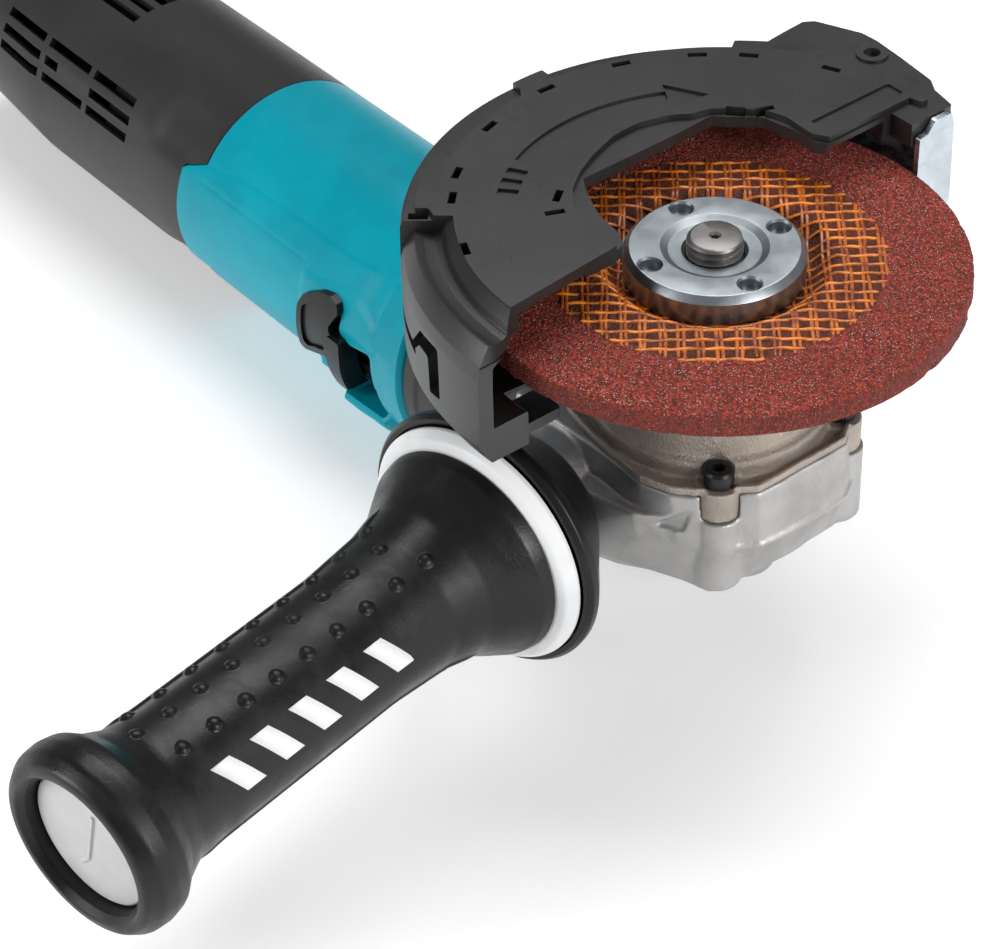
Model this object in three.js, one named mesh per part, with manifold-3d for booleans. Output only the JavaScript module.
// Angle grinder for 125 mm wheels, lying on its back with the wheel up.
// Millimetres. +X is the head's forward direction, -X the tail, -Y the side handle, +Z out of the wheel.
// The origin is the centre of the spindle's free end face. Inside the model group heights are counted
// from the wheel's working face, and the group is lowered by the length the spindle stands proud of it.

import * as THREE from 'three';
import { mergeVertices } from 'three/addons/utils/BufferGeometryUtils.js';
import Module from 'manifold-3d';

const wasm = await Module();
wasm.setup();

// ---------------------------------------------------------------- driving dimensions

const GAP = 0.3;                     // clearance kept between pieces that touch
const ROUND = 28;                    // sides of a large round
const SMALL_ROUND = 12;              // sides of a small round

const SPINDLE_PROUD = 6.4;           // spindle end above the wheel's face
const SPINDLE_R = 7;                 // M14 thread, major radius
const WHEEL_R = 62.5;
const WHEEL_T = 6;
const WHEEL_DEPRESSION = 4.6;        // how far the wheel's centre lies below its face
const NUT_R = 22.5;
const NUT_TOP = 3.4;

const MOTOR_Z = -73.7;               // motor axis below the wheel's face
const BODY_R = 33.6;                 // barrel radius
const WALL = 2.5;                    // plastic shell wall
const BARREL_FRONT_X = -85.5;        // coloured barrel's front end
const SEAM_X = -184.5;               // joint between the barrel and the rear cover
const TAB_X = -194;                  // rear end of the barrel's side panel
const TAB_HALF_Z = 15.2;             // half height of that panel
const TAPER_X = -272;                // where the rear cover starts to narrow
const TAIL_X = -335;                 // rear end

const HOUSING_REAR_X = -66;
const JOINT_Z = -48.5;               // bearing box on gear housing
const RIM_Z = -44.5;                 // bearing box flange top
const DRUM_R = 30;                   // bearing box raised drum
const DRUM_TOP = -31;
const NECK_R = 21;                   // neck that carries the guard
const NECK_TOP = -18.5;
const FRONT_SCREW = { x: 25.4, y: 20.3 };
const SCREW_HEAD_R = 3.9;
const SCREW_HEAD_H = 4.5;

const GEAR_TEETH = 38;
const PINION_TEETH = 11;
const GEAR_PITCH_R = 24;             // at the teeth's outer ends
const TOOTH_FACE = 8;                // face width along the cone
const BACKLASH = 0.36;               // tooth thickness as a part of the pitch

const GUARD_PLATE_TOP = -15.7;
const GUARD_PLATE_T = 2;
const GUARD_R = 71;
const GUARD_SHEET = 1.6;
const GUARD_TOP = 10.8;
const GUARD_HANDLE_END_DEG = 262;    // where the skirt ends on the handle side
const GUARD_FLANGE = { x: 1.7, y0: 69.6, y1: 78.4, top: 8.8 };   // flange folded out at its other end
const COVER_R = 76;
const COVER_TOP = 14.3;
const COVER_T = 3;
const COVER_BOTTOM = -22.8;
const COVER_END_X = 1;

const HANDLE_Z = -62;
const HANDLE_X = -23.6;              // where the handle's axis meets the tool's middle plane
const HANDLE_LEAN = THREE.MathUtils.degToRad(10.3);
const BOSS_FACE_S = 44;              // handle boss face, along the handle's axis

const KNOB_REAR_X = -131.8;
const LOCK_X = 12;

// ---------------------------------------------------------------- shape helpers

function facingOut(geometry) {
  const clean = geometry.index ? geometry.toNonIndexed() : geometry.clone();
  clean.deleteAttribute('normal');
  clean.deleteAttribute('uv');
  const merged = mergeVertices(clean, 1e-4);
  const p = merged.attributes.position;
  const index = [...merged.index.array];
  const corner = [new THREE.Vector3(), new THREE.Vector3(), new THREE.Vector3()];
  const kept = [];
  let volume = 0;
  for (let i = 0; i < index.length; i += 3) {
    const [a, b, c] = index.slice(i, i + 3);
    if (a === b || b === c || a === c) continue;
    kept.push(a, b, c);
    corner.forEach((v, k) => v.fromBufferAttribute(p, index[i + k]));
    volume += corner[0].dot(corner[1].cross(corner[2]));
  }
  if (volume < 0) {
    for (let i = 0; i < kept.length; i += 3) {
      [kept[i], kept[i + 1]] = [kept[i + 1], kept[i]];
    }
  }
  merged.setIndex(kept);
  return merged;
}

function solid(geometry) {
  const closed = facingOut(geometry);
  return new wasm.Manifold(new wasm.Mesh({
    numProp: 3,
    vertProperties: new Float32Array(closed.attributes.position.array),
    triVerts: new Uint32Array(closed.index.array),
  }));
}

function geometryOf(manifold) {
  const mesh = manifold.getMesh();
  const geometry = new THREE.BufferGeometry();
  geometry.setAttribute('position', new THREE.BufferAttribute(new Float32Array(mesh.vertProperties), 3));
  geometry.setIndex([...mesh.triVerts]);
  geometry.computeVertexNormals();
  return geometry;
}

const cut = (base, ...tools) => tools.reduce((left, tool) => left.subtract(tool), base);
const join = (base, ...more) => more.reduce((sum, piece) => sum.add(piece), base);

function block(x0, x1, y0, y1, z0, z1) {
  const geometry = new THREE.BoxGeometry(x1 - x0, y1 - y0, z1 - z0);
  geometry.translate((x0 + x1) / 2, (y0 + y1) / 2, (z0 + z1) / 2);
  return solid(geometry);
}

// A round bar along Z, X or Y, from one end to the other.
function barZ(r, z0, z1, x = 0, y = 0, sides = SMALL_ROUND) {
  const geometry = new THREE.CylinderGeometry(r, r, z1 - z0, sides);
  geometry.rotateX(Math.PI / 2);
  geometry.translate(x, y, (z0 + z1) / 2);
  return solid(geometry);
}

function barX(r, x0, x1, y = 0, z = MOTOR_Z, sides = ROUND) {
  const geometry = new THREE.CylinderGeometry(r, r, x1 - x0, sides);
  geometry.rotateZ(-Math.PI / 2);
  geometry.translate((x0 + x1) / 2, y, z);
  return solid(geometry);
}

// Turned solids from (radius, position) pairs, about Z or about the motor's axis.
function turnedZ(profile, sides = ROUND) {
  const points = profile.map(([r, z]) => new THREE.Vector2(r, z));
  const geometry = new THREE.LatheGeometry(points, sides);
  geometry.rotateX(Math.PI / 2);
  return solid(geometry);
}

function turnedX(profile, sides = ROUND) {
  const points = profile.map(([r, x]) => new THREE.Vector2(r, x));
  const geometry = new THREE.LatheGeometry(points, sides);
  geometry.rotateZ(-Math.PI / 2);
  geometry.translate(0, 0, MOTOR_Z);
  return solid(geometry);
}

const ringZ = (inner, outer, z0, z1, sides = ROUND) =>
  turnedZ([[inner, z0], [outer, z0], [outer, z1], [inner, z1], [inner, z0]], sides);
const ringX = (inner, outer, x0, x1, sides = ROUND) =>
  turnedX([[inner, x0], [outer, x0], [outer, x1], [inner, x1], [inner, x0]], sides);

// A flat outline in the XY plane, raised from z0 to z1.
function plate(shape, z0, z1, curveSegments = 8) {
  const geometry = new THREE.ExtrudeGeometry(shape, {
    depth: z1 - z0, bevelEnabled: false, curveSegments,
  });
  geometry.translate(0, 0, z0);
  return solid(geometry);
}

const outline = (points) => new THREE.Shape(points.map(([x, y]) => new THREE.Vector2(x, y)));

function arcPoints(r, fromDeg, toDeg, steps) {
  const points = [];
  for (let i = 0; i <= steps; i += 1) {
    const a = THREE.MathUtils.degToRad(fromDeg + (toDeg - fromDeg) * i / steps);
    points.push([r * Math.cos(a), r * Math.sin(a)]);
  }
  return points;
}

function ringSector(inner, outer, fromDeg, toDeg, z0, z1, steps = 24) {
  return plate(outline([
    ...arcPoints(outer, fromDeg, toDeg, steps),
    ...arcPoints(inner, toDeg, fromDeg, steps),
  ]), z0, z1);
}

// A closed skin through rings of equal point counts. The ends are capped, or joined to each other.
function loft(rings, loop = false) {
  const count = rings[0].length;
  const positions = rings.flat(2);
  const index = [];
  const last = loop ? rings.length : rings.length - 1;
  for (let i = 0; i < last; i += 1) {
    const a = i * count;
    const b = ((i + 1) % rings.length) * count;
    for (let j = 0; j < count; j += 1) {
      const k = (j + 1) % count;
      index.push(a + j, b + j, b + k, a + j, b + k, a + k);
    }
  }
  if (!loop) {
    for (const [ring, flip] of [[0, true], [rings.length - 1, false]]) {
      const middle = positions.length / 3;
      const sum = rings[ring].reduce((s, p) => s.map((v, n) => v + p[n] / count), [0, 0, 0]);
      positions.push(...sum);
      for (let j = 0; j < count; j += 1) {
        const pair = [ring * count + j, ring * count + (j + 1) % count];
        index.push(middle, ...(flip ? pair.reverse() : pair).reverse());
      }
    }
  }
  const geometry = new THREE.BufferGeometry();
  geometry.setAttribute('position', new THREE.Float32BufferAttribute(positions, 3));
  geometry.setIndex(index);
  return solid(geometry);
}

// ---------------------------------------------------------------- finishes

const finish = (color, roughness, metalness) => ({ color, roughness, metalness });
const FINISH = {
  teal: finish(0x0b93ad, 0.42, 0),
  dark: finish(0x4a474a, 0.6, 0),
  black: finish(0x1b1b1c, 0.55, 0),
  rubber: finish(0x232224, 0.8, 0),
  white: finish(0xf2f3f4, 0.45, 0),
  grey: finish(0xa6a7aa, 0.5, 0),
  castGrey: finish(0xa9a9a8, 0.5, 0.85),
  castWarm: finish(0x9a8d80, 0.45, 0.9),
  zinc: finish(0xaeb8c4, 0.35, 0.95),
  steel: finish(0xb9bcbf, 0.3, 1),
  blackSteel: finish(0x17181a, 0.4, 0.7),
  abrasive: finish(0x82392e, 0.95, 0),
  copper: finish(0xb8653a, 0.35, 1),
  brass: finish(0xc9a24f, 0.35, 1),
  carbon: finish(0x2b2b2d, 0.7, 0.1),
  laminate: finish(0x55585c, 0.5, 0.8),
};

const model = new THREE.Group();
model.position.z = -SPINDLE_PROUD;

function addTo(group, name, shape, look) {
  const mesh = new THREE.Mesh(geometryOf(shape), new THREE.MeshStandardMaterial(look));
  mesh.name = name;
  group.add(mesh);
}
const add = (name, shape, look) => addTo(model, name, shape, look);

// ---------------------------------------------------------------- bevel gears

// Teeth on a cone whose point is where the spindle's and the motor's axes cross. `halfAngle` is the
// pitch cone's half angle. The blank runs from `backDrop` behind the teeth to `frontDrop` before them.
function bevelGear(teeth, pitchR, halfAngle, bore, backDrop, frontDrop, turn) {
  const module_ = 2 * pitchR / teeth;
  const coneLength = pitchR / Math.sin(halfAngle);
  const along = [Math.sin(halfAngle), Math.cos(halfAngle)];
  const out = [Math.cos(halfAngle), -Math.sin(halfAngle)];
  const pitchAngle = 2 * Math.PI / teeth;
  const tipHalf = pitchAngle * BACKLASH * 0.28;
  const rootHalf = pitchAngle * BACKLASH * 0.78;
  const offsets = [-rootHalf, -tipHalf, tipHalf, rootHalf];
  const heights = [-1.15, 0.8, 0.8, -1.15];
  const ring = (length, height) => {
    const points = [];
    for (let t = 0; t < teeth; t += 1) {
      offsets.forEach((offset, k) => {
        const lift = height(k) * module_ * length / coneLength;
        const r = along[0] * length + out[0] * lift;
        const h = along[1] * length + out[1] * lift;
        const a = t * pitchAngle + offset + turn;
        points.push([r * Math.cos(a), r * Math.sin(a), h]);
      });
    }
    return points;
  };
  const flat = (r, h) => ring(0, () => 0).map((_, n) => {
    const a = Math.floor(n / 4) * pitchAngle + offsets[n % 4] + turn;
    return [r * Math.cos(a), r * Math.sin(a), h];
  });
  const outer = ring(coneLength, (k) => heights[k]);
  const inner = ring(coneLength - TOOTH_FACE, (k) => heights[k]);
  const outerRootR = along[0] * coneLength - 1.9 * module_ * out[0];
  const outerBackH = Math.max(...outer.map((p) => p[2])) + backDrop;
  const innerR = Math.max(along[0] * (coneLength - TOOTH_FACE) - 1.9 * module_ * out[0], bore + 0.4);
  const innerH = Math.min(...inner.map((p) => p[2])) + frontDrop;
  return loft([
    flat(bore, outerBackH), flat(outerRootR, outerBackH), outer, inner,
    flat(innerR, innerH), flat(bore, innerH),
  ], true);
}

const gearHalfAngle = Math.atan2(GEAR_TEETH, PINION_TEETH);
const pinionHalfAngle = Math.PI / 2 - gearHalfAngle;

// Built with the cone's point at the origin and the axis along +Z, then set in place.
function spindleGear() {
  const gear = bevelGear(GEAR_TEETH, GEAR_PITCH_R, gearHalfAngle, 7, 6.2, -0.4, Math.PI);
  const holes = [0, 90, 180, 270].map((deg) => {
    const a = THREE.MathUtils.degToRad(deg);
    return barZ(3.3, -20, 8, LOCK_X * Math.cos(a), LOCK_X * Math.sin(a));
  });
  return cut(gear, ...holes).translate([0, 0, MOTOR_Z]);
}

function motorPinion() {
  const halfTooth = Math.PI / PINION_TEETH;
  const pinion = bevelGear(PINION_TEETH, GEAR_PITCH_R * PINION_TEETH / GEAR_TEETH,
    pinionHalfAngle, 2.8, 2.5, -0.3, halfTooth);
  return pinion.rotate([0, -90, 0]).translate([0, 0, MOTOR_Z]);
}

// ---------------------------------------------------------------- wheel side

function spindleShape() {
  return turnedZ([
    [0, SPINDLE_PROUD], [SPINDLE_R - 0.8, SPINDLE_PROUD], [SPINDLE_R, SPINDLE_PROUD - 0.8],
    [SPINDLE_R, -16.3], [8.5, -16.3], [8.5, -34.7], [7.4, -34.7], [7.4, -46.4],
    [6.7, -46.4], [6.7, -70.6], [4, -70.6], [4, -84], [0, -84],
  ], 20);
}

const hubFace = -WHEEL_DEPRESSION;
const hubBack = hubFace - WHEEL_T;

function wheelShape() {
  return turnedZ([
    [11.1, hubFace], [23.4, hubFace], [29, 0], [WHEEL_R, 0],
    [WHEEL_R, -WHEEL_T], [29.5, -WHEEL_T], [24, hubBack], [11.1, hubBack], [11.1, hubFace],
  ], 40);
}

function innerFlangeShape() {
  return turnedZ([
    [SPINDLE_R + GAP, -16], [21, -16], [21, hubBack - GAP], [10.6, hubBack - GAP],
    [10.6, hubFace - 2], [SPINDLE_R + GAP, hubFace - 2], [SPINDLE_R + GAP, -16],
  ]);
}

function lockNutShape() {
  const nut = turnedZ([
    [SPINDLE_R + 0.2, hubFace + GAP], [NUT_R, hubFace + GAP], [NUT_R, NUT_TOP - 1.6],
    [NUT_R - 1.7, NUT_TOP], [13.4, NUT_TOP], [11.3, NUT_TOP - 1],
    [SPINDLE_R + 0.2, NUT_TOP - 1], [SPINDLE_R + 0.2, hubFace + GAP],
  ], 36);
  const holes = [-14, 76, 166, 256].map((deg) => {
    const a = THREE.MathUtils.degToRad(deg);
    return barZ(3, -1.6, 5, 17.6 * Math.cos(a), 17.6 * Math.sin(a), 10);
  });
  return cut(nut, ...holes);
}

// ---------------------------------------------------------------- gear head

const boxScrewPlaces = [1, -1].flatMap((sx) => [1, -1].map((sy) => [sx * FRONT_SCREW.x, sy * FRONT_SCREW.y]));

function bearingBoxShape() {
  const body = turnedZ([
    [10, NECK_TOP], [NECK_R, NECK_TOP], [NECK_R, DRUM_TOP], [DRUM_R - 1.5, DRUM_TOP],
    [DRUM_R, DRUM_TOP - 1.5], [DRUM_R, RIM_Z], [34.6, RIM_Z], [34.6, JOINT_Z + GAP],
    [17.5 + GAP, JOINT_Z + GAP], [17.5 + GAP, -34.7], [10, -34.7], [10, NECK_TOP],
  ], 40);
  const bosses = boxScrewPlaces.map(([x, y]) => barZ(5.2, JOINT_Z + GAP, -44.1, x, y));
  const holes = boxScrewPlaces.map(([x, y]) => barZ(2.4, JOINT_Z - 1, -43, x, y, 10));
  const seats = boxScrewPlaces.map(([x, y]) => barZ(SCREW_HEAD_R + 0.5, -44.1, -25, x, y));
  return cut(join(body, ...bosses), ...holes, ...seats);
}

function capScrew(x, y, headBase, tip) {
  const screw = turnedZ([
    [0, headBase + SCREW_HEAD_H - 2.2], [1.9, headBase + SCREW_HEAD_H - 2.2],
    [1.9, headBase + SCREW_HEAD_H], [SCREW_HEAD_R - 0.6, headBase + SCREW_HEAD_H],
    [SCREW_HEAD_R, headBase + SCREW_HEAD_H - 0.9], [SCREW_HEAD_R, headBase],
    [2, headBase], [2, tip], [0, tip],
  ], 12);
  return screw.translate([x, y, 0]);
}

// The gear housing's outer skin: rounded sections across X, from the motor's flange to the nose.
const housingStations = [
  // x, half width, top, bottom, squareness
  [HOUSING_REAR_X, 34.4, -39.3, -108.1, 2],
  [-58, 35, -40, -107.4, 2.1],
  [-47, 37, -42.5, -104, 2.5],
  [-35, 38.6, -44.5, -99, 2.9],
  [-20, 39.4, -44.5, -93.5, 3],
  [0, 38.4, -44.5, -87, 3],
  [14, 35, -44.5, -82.5, 3],
  [26, 29, -44.5, -78.5, 3],
  [34, 21, -44.5, -75.5, 3.2],
  [37.2, 14, -44.5, -73.5, 3.2],
];

function housingSkin() {
  const count = 32;
  const rings = housingStations.map(([x, half, top, bottom, power]) => {
    const middle = (top + bottom) / 2;
    const tall = (top - bottom) / 2;
    return Array.from({ length: count }, (_, i) => {
      const a = 2 * Math.PI * (i + 0.5) / count;
      const c = Math.cos(a);
      const s = Math.sin(a);
      const y = half * Math.sign(c) * Math.abs(c) ** (2 / power);
      const z = middle + tall * Math.sign(s) * Math.abs(s) ** (2 / power);
      return [x, y, z];
    });
  });
  return loft(rings);
}

// A round bar along the handle's axis, on the handle side (-1) or the spare side (+1).
function barAlongHandle(r, s0, s1, side = -1, sides = 24) {
  const geometry = new THREE.CylinderGeometry(r, r, s1 - s0, sides);
  geometry.translate(0, (s0 + s1) / 2, 0);
  geometry.rotateZ(side < 0 ? Math.PI + HANDLE_LEAN : -HANDLE_LEAN);
  geometry.translate(HANDLE_X, 0, HANDLE_Z);
  return solid(geometry);
}

const housingScrewPlaces = [[-20.9, -20.9], [20.9, -20.9], [-20.9, 20.9], [20.9, 20.9]];
const HOUSING_SCREW_HEAD_X = -44;

function gearHousingShape() {
  const outer = join(
    housingSkin(),
    barZ(6.6, -74.5, JOINT_Z, FRONT_SCREW.x, FRONT_SCREW.y, 20),
    barZ(6.6, -74.5, JOINT_Z, FRONT_SCREW.x, -FRONT_SCREW.y, 20),
    barAlongHandle(15, 20, BOSS_FACE_S, -1),
    barAlongHandle(15, 20, BOSS_FACE_S, 1),
  );
  const above = block(-37.5, 60, -60, 60, JOINT_Z, -20);
  const noseStep = block(32, 60, -15, 15, -90, -62);
  const chamber = turnedZ([[0, -79], [13, -79], [27.2, -70.5], [27.2, -40], [0, -40]]);
  const pinionTunnel = barX(12.5, -50, -8, 0, MOTOR_Z, 24);
  const bearingPocket = barX(15 + GAP, -61, -46.5, 0, MOTOR_Z);
  const fanThroat = barX(26, -80, -60.7, 0, MOTOR_Z);
  const endBush = barZ(6 + GAP, -84.4, -70);
  const lockHole = barZ(3 + GAP, -100, -60, LOCK_X, 0);
  const lockRecess = barZ(7, -100, -81, LOCK_X, 0, 24);
  const boxHoles = boxScrewPlaces.map(([x, y]) => barZ(2.4, -62, -40, x, y, 10));
  const handleHoles = [-1, 1].map((side) => barAlongHandle(4.4, 24, 60, side, 12));
  const screwHoles = housingScrewPlaces.map(([y, z]) => barX(2.4, -80, -40, y, MOTOR_Z + z, 10));
  const screwSeats = housingScrewPlaces.flatMap(([y, z]) => {
    const [x0, x1] = [HOUSING_SCREW_HEAD_X, HOUSING_SCREW_HEAD_X + 14];
    const [z0, z1] = [MOTOR_Z + z, MOTOR_Z + 2.2 * z].sort((a, b) => a - b);
    return [barX(4.4, x0, x1, y, MOTOR_Z + z, 12), block(x0, x1, y - 4.4, y + 4.4, z0, z1)];
  });
  return cut(outer, above, noseStep, chamber, pinionTunnel, bearingPocket, fanThroat, endBush,
    lockHole, lockRecess, ...boxHoles, ...handleHoles, ...screwHoles, ...screwSeats);
}

function housingScrew([y, z]) {
  const head = HOUSING_SCREW_HEAD_X + GAP;
  const screw = turnedX([
    [0, -96], [2, -96], [2, head], [3.9, head], [3.9, head + 3.6], [1.9, head + 3.6],
    [1.9, head + 1.6], [0, head + 1.6],
  ], 12);
  return screw.translate([0, y, z]);
}

function shaftLockShape() {
  return turnedZ([
    [0, -90.5], [5.2, -90.5], [6.2, -89.5], [6.2, -86.5], [3, -86.5], [3, -74.4], [0, -74.4],
  ], 24).translate([LOCK_X, 0, 0]);
}

// ---------------------------------------------------------------- guard

function guardShape() {
  const { x, y0, y1, top } = GUARD_FLANGE;
  const bottom = GUARD_PLATE_TOP - GUARD_PLATE_T;
  const plateShape = outline([
    ...arcPoints(GUARD_R, 91, GUARD_HANDLE_END_DEG, 30),
    ...arcPoints(33, 278, 360 + 82, 14),
  ]);
  const skirt = ringSector(GUARD_R - GUARD_SHEET, GUARD_R, 88, GUARD_HANDLE_END_DEG, bottom, GUARD_TOP, 34);
  const flange = block(x, x + GUARD_SHEET, y0, y1, bottom, top);
  const sheet = plate(plateShape, GUARD_PLATE_TOP - GUARD_PLATE_T, GUARD_PLATE_TOP);
  const collar = ringZ(NECK_R + 0.4, NECK_R + 2.4, -29, GUARD_PLATE_TOP - 1);
  const hole = barZ(NECK_R + 0.4, -40, 0, 0, 0, ROUND);
  return cut(join(skirt, flange, sheet, collar), hole);
}

// The clip-on cover's edge around the wheel's centre, from the handle side to the far side.
const coverMouth = [
  [-3, -24.5], [-9, -23.8], [-17.5, -22], [-26.4, -18.1], [-32, -14.6], [-32.3, 17.3],
  [-33, 27], [-29.6, 31.4], [-23, 37], [-14, 40.2], [-5, 41],
];

const coverEar = [[-52, 62], [-50, 73.6], [-46.5, 76.5], [-34.9, 82], [-29, 81.3], [-6, 78.6], [-2.5, 72]];

function guardCoverShape() {
  const half = THREE.MathUtils.radToDeg(Math.asin(COVER_END_X / COVER_R));
  const top = plate(outline([
    ...arcPoints(COVER_R, 90 - half, 270 + half, 36),
    ...coverMouth,
  ]), COVER_TOP - COVER_T, COVER_TOP);
  const wall = ringSector(COVER_R - 3, COVER_R, 90 - half, 270 + half,
    COVER_BOTTOM, COVER_TOP - COVER_T + 0.5, 36);
  const ear = plate(outline(coverEar), COVER_TOP - 5, COVER_TOP - 2);
  const hooks = [[91.5, 104], [172, 188], [256, 269]].map(([from, to]) =>
    ringSector(64.5, COVER_R - 1, from, to, COVER_BOTTOM, GUARD_PLATE_TOP - GUARD_PLATE_T - GAP, 4));
  const earHole = barZ(2.2, 0, 30, -26, 76.8, 12);
  return cut(join(top, wall, ear, ...hooks), earHole);
}

function clampBandShape() {
  const band = ringZ(NECK_R + 2.7, NECK_R + 4.3, -28, -19.5);
  const ears = block(22, 33, -5.5, 5.5, -27, -20.5);
  const split = block(18, 45, -1.5, 1.5, -40, 0);
  const screwHole = solid(new THREE.CylinderGeometry(2.4, 2.4, 20, 10).translate(29, 0, -23.7));
  return cut(join(band, ears), barZ(NECK_R + 2.7, -40, 0, 0, 0, ROUND), split, screwHole);
}

function clampScrewShape() {
  const points = [[0, -8], [2, -8], [2, 5.8], [3.6, 5.8], [3.6, 9.6], [0, 9.6]];
  const geometry = new THREE.LatheGeometry(points.map(([r, y]) => new THREE.Vector2(r, y)), 12);
  geometry.translate(29, 0, -23.7);
  return solid(geometry);
}

// ---------------------------------------------------------------- barrel and rear cover

const innerR = BODY_R - WALL;
const sidePanel = () => block(TAB_X, SEAM_X + 6, -50, -20, MOTOR_Z - TAB_HALF_Z, MOTOR_Z + TAB_HALF_Z);

function switchOpening() {
  const shape = outline([
    [-134, -62.5], [-116, -62.5], [-114, -72], [-99.5, -72.5], [-99.5, -85], [-134, -85],
  ]);
  const geometry = new THREE.ExtrudeGeometry(shape, { depth: 20, bevelEnabled: false });
  geometry.rotateX(Math.PI / 2);
  geometry.translate(0, -25, 0);
  return solid(geometry);
}

function motorHousingShape() {
  const barrel = ringX(innerR, BODY_R, SEAM_X, BARREL_FRONT_X, 48);
  const panel = ringX(innerR, BODY_R, TAB_X, SEAM_X + 2, 48).intersect(sidePanel());
  const sleeve = turnedX([
    [28.4, -178], [innerR + 1, -178], [innerR + 1, -181], [30.6, -183], [30.6, -238],
    [11.3, -238], [11.3, -228], [14, -228], [14, -235.5], [28.4, -235.5], [28.4, -178],
  ], 48);
  const rodWay = block(-260, -174, -40, -20, MOTOR_Z - 7, MOTOR_Z + 7);
  const bosses = housingScrewPlaces.map(([y, z]) => barX(3.6, -98, BARREL_FRONT_X, y, MOTOR_Z + z, 12));
  const holes = housingScrewPlaces.map(([y, z]) => barX(2.3, -100, -80, y, MOTOR_Z + z, 10));
  return cut(join(barrel, panel, cut(sleeve, rodWay), ...bosses), switchOpening(), ...holes);
}

const ventRows = [142.5, 152, 161];
const ventColumns = [[-295.5, -273.5], [-270, -248], [-245, -223.5]];
const topVents = [[106, -270, -246], [97, -270, -246], [106, -295.5, -273.5], [97, -295.5, -273.5]];

function ventSlot(deg, x0, x1) {
  const slot = block(x0, x1, 24, 40, -1.1, 1.1);
  return slot.rotate([deg, 0, 0]).translate([0, 0, MOTOR_Z]);
}

function rearCoverShape() {
  const shell = turnedX([
    [innerR, SEAM_X - GAP], [BODY_R, SEAM_X - GAP], [BODY_R, TAPER_X], [32.6, -288], [30.4, -312],
    [28, -326], [24, -333], [19, TAIL_X], [8.6, TAIL_X], [8.6, TAIL_X + 3], [20, TAIL_X + 4],
    [25.4, -324], [28, -311], [innerR - 1, -286], [innerR, TAPER_X], [innerR, SEAM_X - GAP],
  ], 48);
  const notch = block(TAB_X - GAP, SEAM_X + 6, -50, -20,
    MOTOR_Z - TAB_HALF_Z - GAP, MOTOR_Z + TAB_HALF_Z + GAP);
  const slots = [];
  for (const [x0, x1] of ventColumns) {
    for (const deg of ventRows) slots.push(ventSlot(deg, x0, x1), ventSlot(180 - deg, x0, x1));
  }
  for (const [deg, x0, x1] of topVents) slots.push(ventSlot(deg, x0, x1), ventSlot(180 - deg, x0, x1));
  const screwSeat = barZ(4.2, -115, -105.8, -228, 0, 12);
  const screwHole = barZ(2.2, -115, -98, -228, 0, 10);
  return cut(shell, notch, screwSeat, screwHole, ...slots);
}

function baffleShape() {
  const ring = turnedX([
    [21, -82], [21, -84.9], [33.9, -84.9], [33.9, HOUSING_REAR_X - GAP], [30.5, HOUSING_REAR_X - GAP],
    [30.5, -82], [21, -82],
  ], 48);
  const lugs = housingScrewPlaces.map(([y, z]) => barX(4.6, -84.9, HOUSING_REAR_X - GAP, y, MOTOR_Z + z, 12));
  const inside = barX(33.4, -90, -60, 0, MOTOR_Z, 48);
  const holes = housingScrewPlaces.map(([y, z]) => barX(2.5, -90, -60, y, MOTOR_Z + z, 10));
  return cut(join(ring, ...lugs.map((lug) => lug.intersect(inside))), ...holes);
}

// ---------------------------------------------------------------- motor

const ROTOR = { front: -114, rear: -168, r: 20 };

function armatureShaftShape() {
  return turnedX([
    [0, -237], [3.9, -237], [3.9, -226.5], [5, -226.5], [5, -46], [2.6, -46], [2.6, -13.5], [0, -13.5],
  ], 20);
}

function rotorCoreShape() {
  const core = ringX(5 + 0.2, ROTOR.r, ROTOR.rear, ROTOR.front, 36);
  const slots = Array.from({ length: 12 }, (_, i) =>
    block(ROTOR.rear - 1, ROTOR.front + 1, 17.4, 24, -0.9, 0.9)
      .rotate([i * 30, 0, 0]).translate([0, 0, MOTOR_Z]));
  return cut(core, ...slots);
}

function statorCoreShape() {
  const ring = ringX(ROTOR.r + 0.8, 30.6, -172, -112, 40);
  const flats = [-1, 1].map((side) => {
    const near = Math.min(side * 26.8, side * 40);
    return block(-180, -100, near, near + 13.2, MOTOR_Z - 40, MOTOR_Z + 40);
  });
  const slots = [-1, 1].flatMap((sy) => [-1, 1].map((sz) => {
    const y = Math.min(sy * 14, sy * 20.5);
    const z = Math.min(sz * 14.4, sz * 19.4);
    return block(-180, -100, y, y + 6.5, MOTOR_Z + z, MOTOR_Z + z + 5);
  }));
  return cut(ring, ...flats, ...slots);
}

function fieldCoilShape(side) {
  const z = MOTOR_Z + side * 16.9;
  const frame = block(-180, -104, -20.2, 20.2, z - 2, z + 2);
  const window_ = block(-173, -111, -14.5, 14.5, z - 5, z + 5);
  return cut(frame, window_);
}

function fanShape() {
  const hub = ringX(5.2, 9, -101, -88.4, 24);
  const back = ringX(8, 25.2, -90.4, -88.4, 28);
  const blades = Array.from({ length: 12 }, (_, i) =>
    block(-101, -89.4, 8.4, 24.8, -0.9, 0.9).rotate([i * 30, 0, 0]).translate([0, 0, MOTOR_Z]));
  return join(hub, back, ...blades);
}

// A ball bearing as one ring: inner and outer races, with the shield between them set in on both faces.
function ballBearing(inner, outer, from, to, turned) {
  const step = (outer - inner) * 0.3;
  return turned([
    [inner, from], [inner + step, from + 0.5], [outer - step, from + 0.5], [outer, from],
    [outer, to], [inner, to], [inner, from],
  ], 20);
}

function brushHolderShape(side) {
  const z0 = MOTOR_Z + side * 15;
  const z1 = MOTOR_Z + side * 26;
  const low = Math.min(z0, z1);
  const tube = block(-201, -190, -4.6, 4.6, low, low + 11);
  return cut(tube, block(-199.2, -191.8, -3.2, 3.2, low - 1, low + 12));
}

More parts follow.
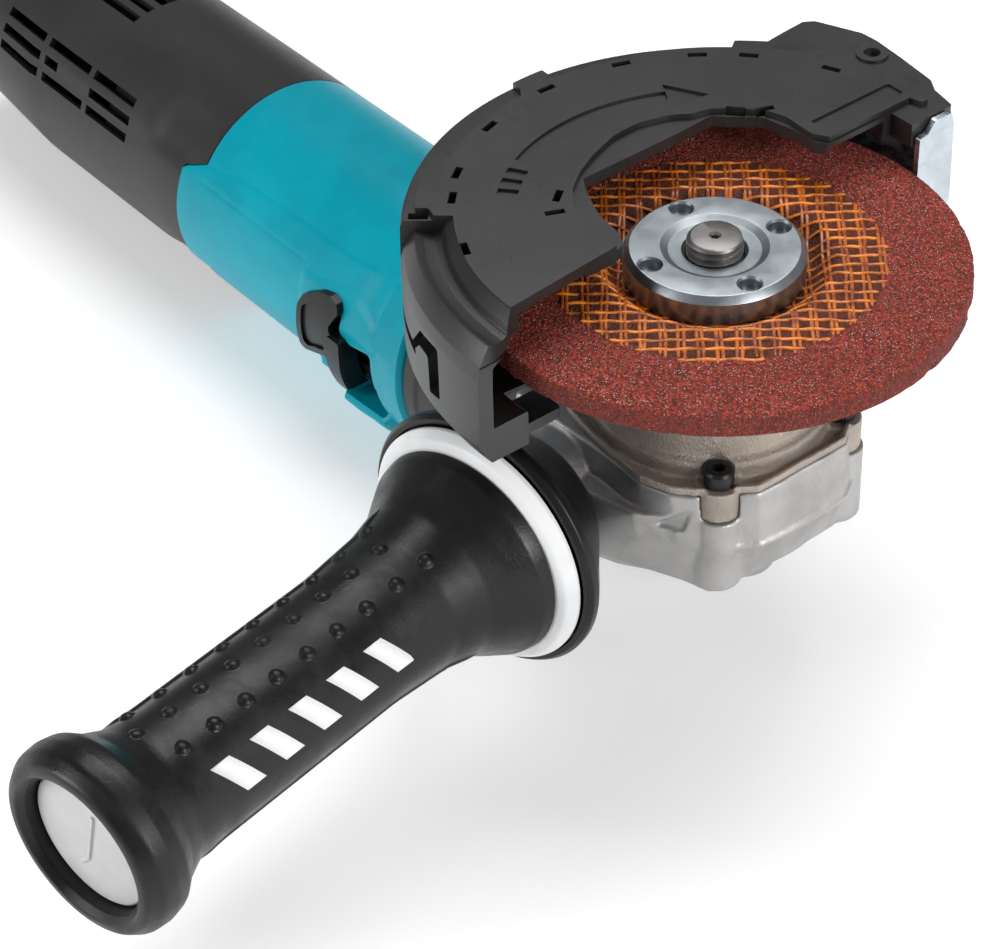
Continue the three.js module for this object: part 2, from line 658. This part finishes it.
function carbonBrushShape(side) {
  const z0 = MOTOR_Z + side * 12.4;
  const z1 = MOTOR_Z + side * 24;
  const low = Math.min(z0, z1);
  return block(-198.8, -192.2, -2.9, 2.9, low, low + 11.6);
}

// ---------------------------------------------------------------- switch

function knobShape() {
  const shape = outline([
    [KNOB_REAR_X, -62], [-115, -62], [-113.4, -66], [-113.4, -84], [-117.5, -88],
    [-117.5, -95.5], [-126, -95.5], [-126, -87], [KNOB_REAR_X, -84],
  ]);
  const geometry = new THREE.ExtrudeGeometry(shape, { depth: 20, bevelEnabled: false });
  geometry.rotateX(Math.PI / 2);
  geometry.translate(0, -25, 0);
  const cap = ringX(BODY_R + GAP, BODY_R + 4, -150, -100, 48).intersect(solid(geometry));
  const stem = block(-129, -117, -BODY_R - 1, -30.2, -80.5, -73.4);
  return join(cap, stem);
}

// ---------------------------------------------------------------- side handle

const handle = new THREE.Group();
handle.position.set(HANDLE_X, 0, HANDLE_Z);
handle.rotation.z = HANDLE_LEAN;
const handleAxis = new THREE.Group();
handleAxis.rotation.x = Math.PI / 2;
handle.add(handleAxis);
model.add(handle);

const HANDLE = { capFace: 198.3, end: 202.6, gripR: 17.7, flangeR: 24.9, rimR: 36.3 };
const addHandle = (name, profile, look, sides = 28) =>
  addTo(handleAxis, name, turnedZ(profile, sides), look);

function buildHandle() {
  addHandle('handle_stud', [[0, 25], [4, 25], [4, 92], [0, 92]], FINISH.steel, 12);
  addHandle('handle_base', [
    [4.3, BOSS_FACE_S + GAP], [19, BOSS_FACE_S + GAP], [22, 47], [30, 55.5], [HANDLE.rimR, 60],
    [HANDLE.rimR, 64.8], [34.8, 66.6], [27.3, 66.6], [27.3, 54], [4.3, 54], [4.3, BOSS_FACE_S + GAP],
  ], FINISH.black, 36);
  addHandle('handle_damper', [[4.3, 54.3], [27, 54.3], [27, 66.6], [4.3, 66.6], [4.3, 54.3]], FINISH.rubber);
  addHandle('handle_ring', [[24, 66.9], [32.7, 66.9], [32.7, 68.2], [29, 71.3], [24, 71.3], [24, 66.9]],
    FINISH.white, 36);
  addHandle('handle_core', [[4.3, 67], [13.4, 67], [13.4, 190], [0, 190], [0, 94], [4.3, 94], [4.3, 67]],
    FINISH.black, 20);
  addHandle('handle_grip', [
    [13.7, 67.3], [23.6, 67.3], [23.6, 71.6], [28.6, 71.6], [27.6, 75.5], [24.6, 81], [21.2, 88],
    [19, 97], [HANDLE.gripR, 112], [HANDLE.gripR, 178], [19, 183.5], [22, 188.5], [24.5, 192.5],
    [HANDLE.flangeR, 196.5], [24.2, 200.2], [22, HANDLE.end], [19.4, HANDLE.end], [18, 201],
    [18, 196.4], [13.7, 196.4], [13.7, 67.3],
  ], FINISH.rubber, 32);
  addHandle('handle_cap', [
    [0, 190.3], [13.4, 190.3], [13.4, 196.7], [17.6, 196.7], [17.6, 197.8], [17, HANDLE.capFace],
    [0, HANDLE.capFace],
  ], FINISH.grey, 32);
}

// ---------------------------------------------------------------- assembly

function buildWheelSide() {
  add('spindle', spindleShape(), FINISH.steel);
  add('inner_flange', innerFlangeShape(), FINISH.steel);
  add('grinding_wheel', wheelShape(), FINISH.abrasive);
  add('lock_nut', lockNutShape(), FINISH.zinc);
  add('bevel_gear', spindleGear(), FINISH.steel);
}

function buildHead() {
  add('bearing_box', bearingBoxShape(), FINISH.castWarm);
  boxScrewPlaces.forEach(([x, y], i) => {
    add(`bearing_box_screw_${i + 1}`, capScrew(x, y, -43.8, -60), FINISH.blackSteel);
  });
  add('guard_seat_ring', ringZ(NECK_R + GAP, 31.5, DRUM_TOP + GAP, DRUM_TOP + 1.6), FINISH.blackSteel);
  add('gear_housing', gearHousingShape(), FINISH.castGrey);
  housingScrewPlaces.forEach((place, i) => {
    add(`housing_screw_${i + 1}`, housingScrew(place), FINISH.blackSteel);
  });
  add('spindle_ball_bearing', ballBearing(7.7, 17.4, -46.1, -35, turnedZ), FINISH.steel);
  add('spindle_end_bush', ringZ(4.3, 6, -83.2, -76), FINISH.brass);
  add('shaft_lock_button', shaftLockShape(), FINISH.black);
  add('shaft_lock_spring', ringZ(3.6, 5, -86.2, -81.3, 16).translate([LOCK_X, 0, 0]), FINISH.steel);
}

function buildGuard() {
  add('wheel_guard', guardShape(), FINISH.zinc);
  add('guard_cover', guardCoverShape(), FINISH.dark);
  add('guard_clamp_band', clampBandShape(), FINISH.zinc);
  add('guard_clamp_screw', clampScrewShape(), FINISH.steel);
}

function buildBody() {
  add('motor_housing', motorHousingShape(), FINISH.teal);
  add('rear_cover', rearCoverShape(), FINISH.dark);
  add('fan_baffle', baffleShape(), FINISH.dark);
  add('cord_gland', ringX(4.2, 8.3, TAIL_X - 2, TAIL_X + 8, 20), FINISH.rubber);
  add('rear_cover_screw', turnedZ([
    [0, -107.2], [3.6, -107.2], [3.6, -106.1], [1.9, -106.1], [1.9, -104.5], [0, -104.5],
  ], 12).translate([-228, 0, 0]), FINISH.blackSteel);
  add('switch_body', block(-302, -262, -9, 9, MOTOR_Z - 13, MOTOR_Z + 13), FINISH.black);
}

function buildMotor() {
  add('armature_shaft', armatureShaftShape(), FINISH.steel);
  add('bevel_pinion', motorPinion(), FINISH.steel);
  add('rotor_core', rotorCoreShape(), FINISH.laminate);
  add('rotor_winding_front', ringX(5.2, 14, ROTOR.front + GAP, ROTOR.front + 9, 20), FINISH.copper);
  add('rotor_winding_rear', ringX(5.2, 14, ROTOR.rear - 10, ROTOR.rear - GAP, 20), FINISH.copper);
  add('commutator', ringX(5.2, 12, -204, -187, 24), FINISH.copper);
  add('cooling_fan', fanShape(), FINISH.black);
  add('front_ball_bearing', ballBearing(5.2, 15, -58, -49, turnedX), FINISH.steel);
  add('rear_ball_bearing', ballBearing(4.1, 11, -235, -228, turnedX), FINISH.steel);
  add('stator_core', statorCoreShape(), FINISH.laminate);
  [1, -1].forEach((side, i) => {
    add(`field_coil_${i + 1}`, fieldCoilShape(side), FINISH.copper);
    add(`brush_holder_${i + 1}`, brushHolderShape(side), FINISH.brass);
    add(`carbon_brush_${i + 1}`, carbonBrushShape(side), FINISH.carbon);
  });
}

function buildSwitch() {
  add('switch_knob', knobShape(), FINISH.black);
  add('switch_rod', block(-262, -119, -29.9, -27.6, MOTOR_Z - 3.5, MOTOR_Z + 3.5), FINISH.black);
}

buildWheelSide();
buildHead();
buildGuard();
buildBody();
buildMotor();
buildSwitch();
buildHandle();

export default model;
